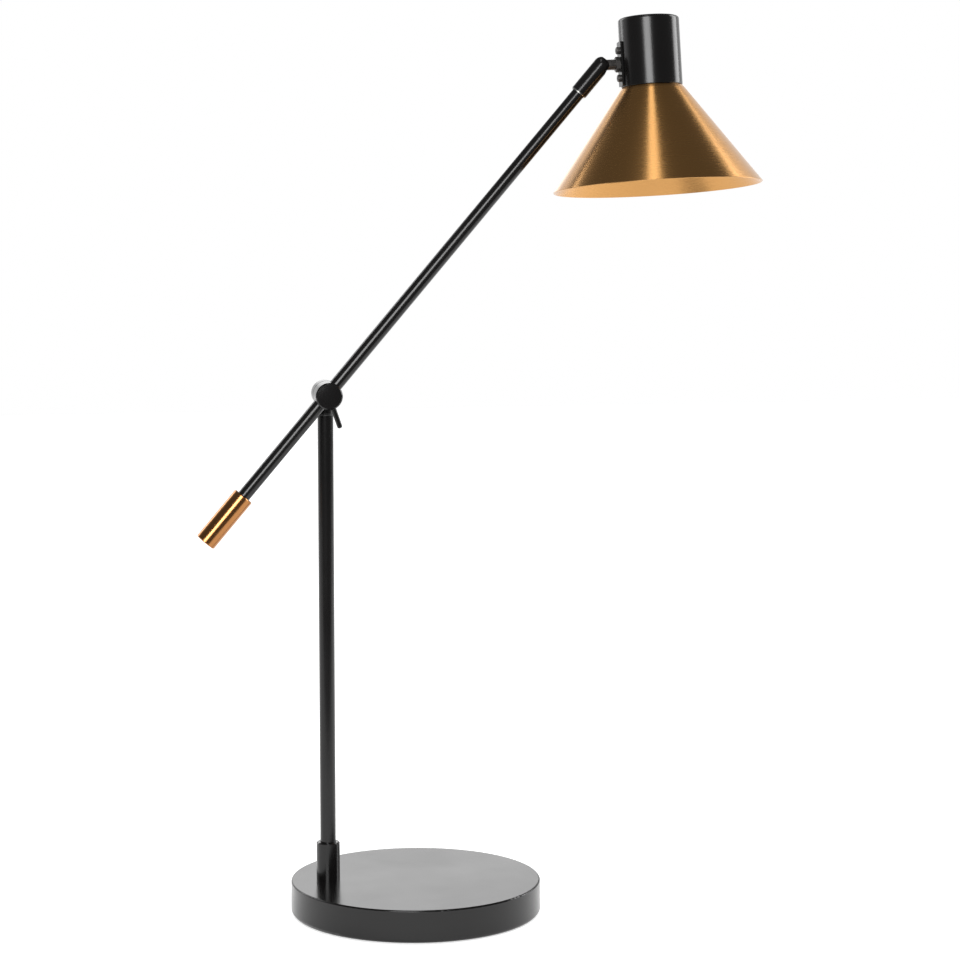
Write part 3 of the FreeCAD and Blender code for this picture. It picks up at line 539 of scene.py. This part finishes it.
class ScrewSettings(bpy.types.PropertyGroup):
    plate_face: bpy.props.FloatProperty(
        name="Plate face", description="Distance of the bracket plate from the cup axis",
        default=24.15 * MM, unit="LENGTH", precision=5,
    )
    spacing: bpy.props.FloatProperty(
        name="Spacing", description="Distance between the bracket screws",
        default=20.8 * MM, unit="LENGTH", precision=5,
    )
    head_radius: bpy.props.FloatProperty(
        name="Head radius", description="Radius of a bracket screw head",
        default=2.8 * MM, unit="LENGTH", precision=5,
    )
    head_height: bpy.props.FloatProperty(
        name="Head height", description="Height of a bracket screw head",
        default=2.4 * MM, unit="LENGTH", precision=5,
    )
    head_round: bpy.props.FloatProperty(
        name="Head rounding", description="Rounding of a bracket screw head",
        default=0.9 * MM, unit="LENGTH", precision=5,
    )
    shank_radius: bpy.props.FloatProperty(
        name="Shank radius", description="Radius of a bracket screw shank",
        default=1.5 * MM, unit="LENGTH", precision=5,
    )
    shank_length: bpy.props.FloatProperty(
        name="Shank length", description="Length of a bracket screw shank",
        default=6.6 * MM, unit="LENGTH", precision=5,
    )
    recess_width: bpy.props.FloatProperty(
        name="Recess width", description="Width of one bar of the cross recess",
        default=0.65 * MM, unit="LENGTH", precision=5,
    )
    recess_span: bpy.props.FloatProperty(
        name="Recess span", description="Length of one bar of the cross recess",
        default=3.0 * MM, unit="LENGTH", precision=5,
    )
    recess_depth: bpy.props.FloatProperty(
        name="Recess depth", description="Depth of the cross recess",
        default=1.1 * MM, unit="LENGTH", precision=5,
    )
    recess_turn: bpy.props.FloatProperty(
        name="Recess turn", description="How far the cross is turned",
        default=math.radians(20), unit="ROTATION",
    )
    grub_chamfer: bpy.props.FloatProperty(
        name="Grub chamfer", description="Chamfer of the grub screws",
        default=0.25 * MM, unit="LENGTH", precision=5,
    )
    socket_radius: bpy.props.FloatProperty(
        name="Socket radius", description="Corner radius of the hexagon socket",
        default=0.87 * MM, unit="LENGTH", precision=5,
    )
    socket_depth: bpy.props.FloatProperty(
        name="Socket depth", description="Depth of the hexagon socket",
        default=1.3 * MM, unit="LENGTH", precision=5,
    )


class ThreadSettings(bpy.types.PropertyGroup):
    neck_radius: bpy.props.FloatProperty(
        name="Neck radius", description="Middle radius of the neck thread ridge",
        default=3.85 * MM, unit="LENGTH", precision=5,
    )
    neck_ridge: bpy.props.FloatProperty(
        name="Neck ridge", description="Size of the neck thread ridge",
        default=0.3 * MM, unit="LENGTH", precision=5,
    )
    neck_pitch: bpy.props.FloatProperty(
        name="Neck pitch", description="Rise of the neck thread in one turn",
        default=0.75 * MM, unit="LENGTH", precision=5,
    )
    neck_start: bpy.props.FloatProperty(
        name="Neck start", description="Distance of the thread from the ball centre",
        default=7.45 * MM, unit="LENGTH", precision=5,
    )
    neck_turns: bpy.props.IntProperty(
        name="Neck turns", description="Turns of the neck thread that show",
        default=4, min=1,
    )
    shell_radius: bpy.props.FloatProperty(
        name="Shell radius", description="Middle radius of the rolled ridge",
        default=7.0 * MM, unit="LENGTH", precision=5,
    )
    shell_ridge: bpy.props.FloatProperty(
        name="Shell ridge", description="Size of the rolled ridge",
        default=0.45 * MM, unit="LENGTH", precision=5,
    )
    shell_pitch: bpy.props.FloatProperty(
        name="Shell pitch", description="Rise of the lamp thread in one turn",
        default=2.82 * MM, unit="LENGTH", precision=5,
    )
    shell_mouth: bpy.props.FloatProperty(
        name="Shell mouth", description="Distance of the first turn below the neck axis",
        default=23.9 * MM, unit="LENGTH", precision=5,
    )
    shell_turns: bpy.props.IntProperty(
        name="Shell turns", description="Turns of the rolled thread",
        default=6, min=1,
    )


class RibSettings(bpy.types.PropertyGroup):
    hub_radius: bpy.props.FloatProperty(
        name="Hub radius", description="Radius of the ring hub that carries the ribs",
        default=16.2 * MM, unit="LENGTH", precision=5,
    )
    middle: bpy.props.FloatProperty(
        name="Middle", description="Distance of the ribs middle below the neck axis",
        default=21.8 * MM, unit="LENGTH", precision=5,
    )
    length: bpy.props.FloatProperty(
        name="Length", description="Length of a rib along the axis",
        default=3.4 * MM, unit="LENGTH", precision=5,
    )
    width: bpy.props.FloatProperty(
        name="Width", description="Width of a rib",
        default=1.1 * MM, unit="LENGTH", precision=5,
    )
    height: bpy.props.FloatProperty(
        name="Height", description="How far a rib stands out of the hub",
        default=0.5 * MM, unit="LENGTH", precision=5,
    )
    count: bpy.props.IntProperty(
        name="Count", description="Number of ribs",
        default=28, min=1,
    )


class StageSettings(bpy.types.PropertyGroup):
    front_light: bpy.props.FloatProperty(
        name="Front light", description="Power of the tall soft light behind the camera",
        default=60.0, unit="POWER",
    )
    top_light: bpy.props.FloatProperty(
        name="Top light", description="Power of the soft light overhead",
        default=3.5, unit="POWER",
    )
    side_light: bpy.props.FloatProperty(
        name="Side light", description="Power of the strip light on the right",
        default=27.0, unit="POWER",
    )
    rim_light: bpy.props.FloatProperty(
        name="Rim light", description="Power of the strip light behind on the left",
        default=6.0, unit="POWER",
    )
    back_light: bpy.props.FloatProperty(
        name="Back light", description="Power of the wide soft light far behind the lamp",
        default=7.5, unit="POWER",
    )


# ---- Operators ----
class LAMP_OT_stage(bpy.types.Operator):
    """Builds the white floor, the studio lights and the camera"""

    bl_idname = "lamp.stage"
    bl_label = "Studio"

    def execute(self, context):
        settings = context.scene.lamp_stage
        self.floor()
        self.sky(context.scene)
        self.lights(settings)
        self.camera(context.scene)
        context.scene.view_settings.view_transform = "Standard"
        return {"FINISHED"}

    def floor(self):
        """Pale board: white to the camera and in reflections, and it keeps the lamp's shadow."""
        side, middle = 4.4, (0, 1.6, 0)
        glow_strength = 0.6     # the light that falls on the board makes up the rest of white
        deselect()
        bpy.ops.mesh.primitive_plane_add(size=side, location=middle)
        bpy.ops.object.transform_apply(location=True, rotation=False, scale=False)
        floor = bpy.context.object
        floor.name = "floor"
        material = new_material("painted_board_white")
        tree = material.node_tree
        matt = add_node(
            tree, "ShaderNodeBsdfPrincipled",
            values={"Base Color": (0.82, 0.82, 0.82, 1), "Roughness": 0.9},
        )
        rays = add_node(tree, "ShaderNodeLightPath")
        glow = add_node(tree, "ShaderNodeEmission", values={"Color": (1, 1, 1, 1)})
        mirrored = add_node(
            tree, "ShaderNodeMath",
            settings={"operation": "MAXIMUM"},
            links={0: rays.outputs["Is Glossy Ray"], 1: rays.outputs["Is Transmission Ray"]},
        )
        seen = add_node(
            tree, "ShaderNodeMath",
            settings={"operation": "MAXIMUM"},
            links={0: rays.outputs["Is Camera Ray"], 1: mirrored.outputs["Value"]},
        )
        strength = add_node(
            tree, "ShaderNodeMath",
            settings={"operation": "MULTIPLY"},
            values={1: glow_strength},
            links={0: seen.outputs["Value"]},
        )
        tree.links.new(strength.outputs["Value"], glow.inputs["Strength"])
        both = add_node(
            tree, "ShaderNodeAddShader",
            links={0: matt.outputs["BSDF"], 1: glow.outputs["Emission"]},
        )
        add_node(tree, "ShaderNodeOutputMaterial", links={"Surface": both.outputs["Shader"]})
        floor.data.materials.append(material)

    def sky(self, scene):
        """White to the camera. In reflections it is white behind and dim overhead and in front."""
        camera_white = 1.0
        dim_side = 0.15
        behind_more = 0.85      # with the dim side's 0.15 this is 1, which is white
        diffuse_fill = 0.55
        wall_top = 0.4, 0.62    # the white fades out between these rises of a ray
        wall_side = 0.05, 0.45  # and between these parts of it that point backwards
        world = bpy.data.worlds.new("studio")
        world.use_nodes = True
        scene.world = world
        tree = world.node_tree
        tree.nodes.clear()
        place = add_node(tree, "ShaderNodeTexCoord")
        parts = add_node(
            tree, "ShaderNodeSeparateXYZ", links={"Vector": place.outputs["Generated"]},
        )
        wall = add_node(
            tree, "ShaderNodeMapRange",
            settings={"interpolation_type": "SMOOTHSTEP"},
            values={
                "From Min": wall_top[0], "From Max": wall_top[1], "To Min": 1.0, "To Max": 0.0,
            },
            links={"Value": parts.outputs["Z"]},
        )
        behind = add_node(
            tree, "ShaderNodeMapRange",
            settings={"interpolation_type": "SMOOTHSTEP"},
            values={
                "From Min": wall_side[0], "From Max": wall_side[1],
                "To Min": 0.0, "To Max": behind_more,
            },
            links={"Value": parts.outputs["Y"]},
        )
        seen = add_node(
            tree, "ShaderNodeMath",
            settings={"operation": "MULTIPLY"},
            links={0: wall.outputs["Result"], 1: behind.outputs["Result"]},
        )
        lifted = add_node(
            tree, "ShaderNodeMath",
            settings={"operation": "ADD"},
            values={1: dim_side},
            links={0: seen.outputs["Value"]},
        )
        rays = add_node(tree, "ShaderNodeLightPath")
        fill = add_node(
            tree, "ShaderNodeMix",
            settings={"data_type": "FLOAT"},
            values={"B": diffuse_fill},
            links={"Factor": rays.outputs["Is Diffuse Ray"], "A": lifted.outputs["Value"]},
        )
        strength = add_node(
            tree, "ShaderNodeMix",
            settings={"data_type": "FLOAT"},
            values={"B": camera_white},
            links={"Factor": rays.outputs["Is Camera Ray"], "A": fill.outputs["Result"]},
        )
        sky = add_node(
            tree, "ShaderNodeBackground",
            values={"Color": (1, 1, 1, 1)},
            links={"Strength": strength.outputs["Result"]},
        )
        add_node(tree, "ShaderNodeOutputWorld", links={"Surface": sky.outputs["Background"]})

    def lights(self, settings):
        """Soft lights turned to the lamp's middle. The camera doesn't see them, and metal does."""
        aim = Vector((0.03, 0, 0.45))
        plans = [    # name, power, width and height in metres, place
            ("front_light", settings.front_light, (1.3, 1.3), (-0.9, -2.75, 1.3)),
            ("top_light", settings.top_light, (0.28, 1.2), (-0.16, -0.56, 2.3)),
            ("side_light", settings.side_light, (0.85, 1.6), (2.0, 0.35, 1.15)),
            ("rim_light", settings.rim_light, (0.4, 1.0), (-1.18, 1.46, 1.15)),
            ("back_light", settings.back_light, (2.0, 1.2), (0.6, 3.6, 1.25)),
        ]
        for name, power, size, position in plans:
            deselect()
            bpy.ops.object.light_add(type="AREA", location=position)
            lamp = bpy.context.object
            lamp.name = name
            lamp.data.shape = "RECTANGLE"
            lamp.data.size, lamp.data.size_y = size
            lamp.data.energy = power
            lamp.visible_camera = False
            lamp.rotation_euler = (aim - Vector(position)).to_track_quat("-Z", "Y").to_euler()

    def camera(self, scene):
        """The photograph's view of the lamp."""
        place = (-0.3514, -2.2421, 0.6198)
        down, rightwards = 7.137, 10.16     # degrees
        sensor = 36                         # millimetres
        focal_pixels, frame_pixels = 3010, 960
        deselect()
        bpy.ops.object.camera_add(location=place)
        camera = bpy.context.object
        camera.rotation_euler = (math.radians(90 - down), 0, math.radians(-rightwards))
        camera.data.sensor_width = sensor
        camera.data.lens = sensor * focal_pixels / frame_pixels
        camera.data.dof.use_dof = False
        scene.camera = camera


class LAMP_OT_finishes(bpy.types.Operator):
    """Gives every CAD piece the material that the real one is made of"""

    bl_idname = "lamp.finishes"
    bl_label = "Finishes"

    def execute(self, context):
        finishes = {
            # Powder coat: satin black with soft highlights down each tube and edge.
            "powder_coat": powder_coat(context.scene.lamp_coat),
            # Turned brass: a warm, soft shine. The two brass pieces below stand in for it.
            "brushed_brass": speckled(
                "brass_turned", "#b98d50", "#a97d42", metallic=1.0,
                roughness=0.3, grain=0.6 * MM, height=0.01 * MM,
            ),
            # Cast iron: dull dark grey with the sandy skin of its mould.
            "cast_iron": speckled(
                "cast_iron_grey", "#34332f", "#45423d",
                roughness=0.7, grain=1.5 * MM, height=0.2 * MM,
            ),
            # Moulded rubber: matt black with hardly a highlight.
            "rubber": speckled(
                "rubber_moulded_black", "#151515", "#1d1d1c",
                roughness=0.8, grain=0.8 * MM, height=0.05 * MM,
            ),
            # Zinc plate: pale silver with a faint mottle.
            "zinc_steel": speckled(
                "steel_zinc_plated", "#a9a9a4", "#c0c1bd", metallic=1.0,
                roughness=0.35, grain=0.7 * MM, height=0.01 * MM,
            ),
            # Blackened steel: grey metal that shines dimly through a thin dark oxide.
            "black_steel": speckled(
                "steel_blackened", "#5c5a58", "#444241", metallic=0.7,
                roughness=0.34, grain=0.8 * MM, height=0.01 * MM,
            ),
            # Natural nylon: milky off-white with a low sheen.
            "bearing_plastic": speckled(
                "nylon_moulded_natural", "#d8d3c6", "#cdc7b8", ior=1.53,
                roughness=0.5, grain=1 * MM, height=0.02 * MM,
            ),
            # Pressed fibre: black without any shine, which draws a dark seam.
            "friction_fibre": speckled(
                "fibre_pressed_black", "#121110", "#1c1a19",
                roughness=0.85, grain=0.4 * MM, height=0.05 * MM,
            ),
            # Moulded PBT: black with a low, even sheen.
            "holder_plastic": speckled(
                "pbt_moulded_black", "#171717", "#1f1f1f", ior=1.55,
                roughness=0.5, grain=0.9 * MM, height=0.02 * MM,
            ),
            # Fired steatite: warm white and chalky.
            "steatite": speckled(
                "steatite_fired", "#e6e0d2", "#d9d2c2", ior=1.6,
                roughness=0.6, grain=0.5 * MM, height=0.02 * MM,
            ),
            # Stamped brass: bright yellow with crisp highlights.
            "contact_brass": speckled(
                "brass_stamped_bright", "#c8a45c", "#b8924c", metallic=1.0,
                roughness=0.25, grain=1 * MM, height=0.01 * MM,
            ),
            # Extruded PVC: smooth black with a soft sheen.
            "lead_insulation": speckled(
                "pvc_extruded_black", "#1b1b1b", "#242424", ior=1.54,
                roughness=0.5, grain=0.8 * MM, height=0.01 * MM,
            ),
        }
        slots = {row["node"]: row["material_slot"] for row in frame["record"]["subparts"]}
        for name, piece in frame["nodes"].items():
            piece.data.materials.clear()
            piece.data.materials.append(finishes[slots[name]])
        return {"FINISHED"}


class LAMP_OT_shade(bpy.types.Operator):
    """Spins the brass shade with its neck flange and its rounded rim"""

    bl_idname = "lamp.shade"
    bl_label = "Shade"

    def execute(self, context):
        shade = context.scene.lamp_shade
        brass = context.scene.lamp_brass
        slope = Vector((shade.rim_radius - shade.neck_radius, -shade.height)).normalized()
        inward = Vector((slope.y, -slope.x)) * shade.wall
        neck = Vector((shade.neck_radius, -shade.top))
        rim = Vector((shade.rim_radius, -shade.top - shade.height))
        inner_top = neck.y - shade.wall
        inner_start = neck + inward + slope * ((neck.y + inward.y - inner_top) / -slope.y)
        bend_in, bend_down = 0.8 * MM, 0.5 * MM     # the neck's edge is cut off between these
        rim_edge, rim_share = 0.2 * MM, 0.25        # and the rim's, along and across the wall
        rows = 24
        points = [(shade.hole_radius, neck.y)]
        points += [tuple(neck + Vector((-bend_in, 0))), tuple(neck + slope * bend_down)]
        for row in range(1, rows):
            points.append(tuple(neck.lerp(rim, row / rows)))
        points += [tuple(rim - slope * rim_edge), tuple(rim + inward * rim_share)]
        points += [tuple(rim + inward * (1 - rim_share)), tuple(rim + inward - slope * rim_edge)]
        for row in range(1, rows):
            points.append(tuple((rim + inward).lerp(inner_start, row / rows)))
        points += [tuple(inner_start), (shade.hole_radius, inner_top), (shade.hole_radius, neck.y)]
        piece = turned("brass_shade", points, segments=192)
        place = head_axes()
        put(piece, place)
        wrap_around(piece, place)
        smooth(piece, degrees=40)
        # Brass spun, brushed round and lacquered: golden bands that widen towards the rim.
        metal = spun_metal(
            "brass_spun_brushed_lacquered", shade.colour, shade.dark_colour,
            brass.roughness, brass.line_width, brass.anisotropy, place,
        )
        dress(piece, metal, "head", "brushed_brass", "shade")
        return {"FINISHED"}


class LAMP_OT_counterweight(bpy.types.Operator):
    """Turns the brass counterweight with its chamfers and its blind bore"""

    bl_idname = "lamp.counterweight"
    bl_label = "Counterweight"

    def execute(self, context):
        weight = context.scene.lamp_weight
        brass = context.scene.lamp_brass
        edge = weight.radius - weight.chamfer
        points = [
            (edge / 2, -weight.far),
            (edge, -weight.far),
            (weight.radius, weight.chamfer - weight.far),
        ]
        rows = 12
        length = weight.far - weight.near - 2 * weight.chamfer
        for row in range(1, rows):
            points.append((weight.radius, weight.chamfer - weight.far + length * row / rows))
        points += [
            (weight.radius, -weight.near - weight.chamfer),
            (edge, -weight.near),
            (weight.bore, -weight.near),
            (weight.bore, weight.end - weight.far),
            (0, weight.end - weight.far),
        ]
        piece = turned("brass_counterweight", points, segments=96)
        fill_ends(piece)
        place = arm_axes()
        put(piece, place)
        wrap_around(piece, place)
        smooth(piece, degrees=30)
        # Brass turned and lacquered: browner than the shade, with narrow bright bands.
        metal = spun_metal(
            "brass_turned_lacquered", weight.colour, weight.dark_colour,
            weight.roughness, brass.line_width, weight.anisotropy, place,
        )
        dress(piece, metal, "arm", "brushed_brass", "counterweight")
        return {"FINISHED"}


class LAMP_OT_bracket_screws(bpy.types.Operator):
    """Makes the two pan-head screws of the bracket plate, with cross recesses"""

    bl_idname = "lamp.bracket_screws"
    bl_label = "Bracket screws"

    def execute(self, context):
        screw = context.scene.lamp_screws
        head = head_axes()
        outwards = Matrix.Rotation(-QUARTER_TURN, 4, "Y")
        for name, side in (("upper", 1), ("lower", -1)):
            points = [(screw.shank_radius, -screw.shank_length), (screw.shank_radius, 0)]
            points.append((screw.head_radius, 0))
            points += rounded(screw.head_radius, screw.head_height, screw.head_round, steps=5)
            points.append((0, screw.head_height))
            piece = turned("bracket_screw_" + name, points, segments=32)
            fill_ends(piece)
            for turn in (0, QUARTER_TURN):
                deselect()
                bpy.ops.mesh.primitive_cube_add(
                    size=1, scale=(screw.recess_width, screw.recess_span, 2 * screw.recess_depth),
                    location=(0, 0, screw.head_height), rotation=(0, 0, turn + screw.recess_turn),
                )
                sink(piece, bpy.context.object)
            seat = Matrix.Translation((-screw.plate_face, 0, side * screw.spacing / 2))
            put(piece, head @ seat @ outwards)
            smooth(piece, degrees=35)
            steel = bpy.data.materials["steel_blackened"]
            if side == 1:
                dress(piece, steel, "head", "black_steel", "bracket_screws")
            else:
                dress(piece, steel, "head", "black_steel")
        return {"FINISHED"}


class LAMP_OT_grub_screws(bpy.types.Operator):
    """Makes the hexagon-socket grub screws of the ferrule and the counterweight"""

    bl_idname = "lamp.grub_screws"
    bl_label = "Grub screws"

    def execute(self, context):
        grub = context.scene.lamp_screws
        for node, body in (("ferrule_screw", "stand"), ("counterweight_screw", "arm")):
            low, high = (Vector(corner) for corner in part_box(node))
            radius = (high.x - low.x) / 2
            length = high.y - low.y
            points = [
                (radius, 0),
                (radius, length - grub.grub_chamfer),
                (radius - grub.grub_chamfer, length),
                (0, length),
            ]
            piece = turned("socket_" + node, points, segments=32)
            fill_ends(piece)
            deselect()
            bpy.ops.mesh.primitive_cylinder_add(
                vertices=6, radius=grub.socket_radius, depth=2 * grub.socket_depth,
                location=(0, 0, length),
            )
            sink(piece, bpy.context.object)
            middle = (low + high) / 2
            seat = Matrix.Translation((middle.x, low.y, middle.z))
            put(piece, seat @ Matrix.Rotation(-QUARTER_TURN, 4, "X"))
            smooth(piece, degrees=35)
            dress(piece, bpy.data.materials["steel_zinc_plated"], body, "zinc_steel", node)
        return {"FINISHED"}


class LAMP_OT_threads(bpy.types.Operator):
    """Winds the thread of the neck and the rolled thread of the lampholder's shell"""

    bl_idname = "lamp.threads"
    bl_label = "Threads"

    def execute(self, context):
        thread = context.scene.lamp_threads
        neck = wound(
            "neck_thread", corners=3, ridge=thread.neck_ridge, radius=thread.neck_radius,
            start=thread.neck_start, pitch=thread.neck_pitch, turns=thread.neck_turns, steps=32,
        )
        put(neck, neck_axes())
        smooth(neck, degrees=30)
        dress(neck, bpy.data.materials["steel_blackened"], "neck", "black_steel")
        shell = wound(
            "shell_thread", corners=10, ridge=thread.shell_ridge, radius=thread.shell_radius,
            start=-thread.shell_mouth, pitch=thread.shell_pitch, turns=thread.shell_turns, steps=40,
        )
        put(shell, head_axes())
        smooth(shell, degrees=60)
        dress(shell, bpy.data.materials["brass_stamped_bright"], "head", "contact_brass")
        return {"FINISHED"}


class LAMP_OT_ring_ribs(bpy.types.Operator):
    """Adds the grip ribs round the ring that holds the shade"""

    bl_idname = "lamp.ring_ribs"
    bl_label = "Ring ribs"

    def execute(self, context):
        ribs = context.scene.lamp_ribs
        rounding = ribs.height * 0.45     # just under half, so that opposite edges don't meet
        deselect()
        bpy.ops.mesh.primitive_cube_add(
            size=1, scale=(2 * ribs.height, ribs.width, ribs.length),
            location=(ribs.hub_radius, 0, -ribs.middle),
        )
        piece = bpy.context.object
        piece.name = "shade_ring_ribs"
        piece.data.name = piece.name
        bpy.ops.object.transform_apply(location=True, rotation=True, scale=True)
        bpy.ops.object.mode_set(mode="EDIT")
        bpy.ops.mesh.select_all(action="SELECT")
        bpy.ops.mesh.bevel(offset=rounding, segments=2)
        bpy.ops.mesh.select_all(action="SELECT")
        bpy.ops.mesh.spin(
            steps=ribs.count, angle=math.tau, dupli=True, center=(0, 0, 0), axis=(0, 0, 1),
        )
        bpy.ops.mesh.select_all(action="SELECT")
        bpy.ops.mesh.remove_doubles(threshold=SAME_POINT)
        bpy.ops.mesh.normals_make_consistent(inside=False)
        bpy.ops.object.mode_set(mode="OBJECT")
        put(piece, head_axes())
        smooth(piece, degrees=40)
        dress(piece, bpy.data.materials["pbt_moulded_black"], "head", "holder_plastic")
        return {"FINISHED"}


class LAMP_PT_panel(bpy.types.Panel):
    """Lists the lamp's steps and settings"""

    bl_label = "Desk lamp"
    bl_idname = "LAMP_PT_panel"
    bl_space_type = "VIEW_3D"
    bl_region_type = "UI"
    bl_category = "Desk lamp"

    def draw(self, context):
        for step in steps:
            self.layout.operator(step.bl_idname)
        for group in settings_groups:
            box = self.layout.box()
            values = getattr(context.scene, group)
            for name in values.bl_rna.properties.keys():
                if name not in {"rna_type", "name"}:
                    box.prop(values, name)


steps = [
    LAMP_OT_stage,
    LAMP_OT_finishes,
    LAMP_OT_shade,
    LAMP_OT_counterweight,
    LAMP_OT_bracket_screws,
    LAMP_OT_grub_screws,
    LAMP_OT_threads,
    LAMP_OT_ring_ribs,
]
settings_groups = {
    "lamp_coat": CoatSettings,
    "lamp_brass": BrassSettings,
    "lamp_shade": ShadeSettings,
    "lamp_weight": WeightSettings,
    "lamp_screws": ScrewSettings,
    "lamp_threads": ThreadSettings,
    "lamp_ribs": RibSettings,
    "lamp_stage": StageSettings,
}


def register():
    for group, kind in settings_groups.items():
        bpy.utils.register_class(kind)
        setattr(bpy.types.Scene, group, bpy.props.PointerProperty(type=kind))
    for kind in [*steps, LAMP_PT_panel]:
        bpy.utils.register_class(kind)


def unregister():
    for kind in reversed([*steps, LAMP_PT_panel]):
        bpy.utils.unregister_class(kind)
    for group, kind in reversed(settings_groups.items()):
        delattr(bpy.types.Scene, group)
        bpy.utils.unregister_class(kind)


def main():
    register()
    for step in steps:
        category, name = step.bl_idname.split(".")
        getattr(getattr(bpy.ops, category), name)()


if __name__ == "__main__":
    main()
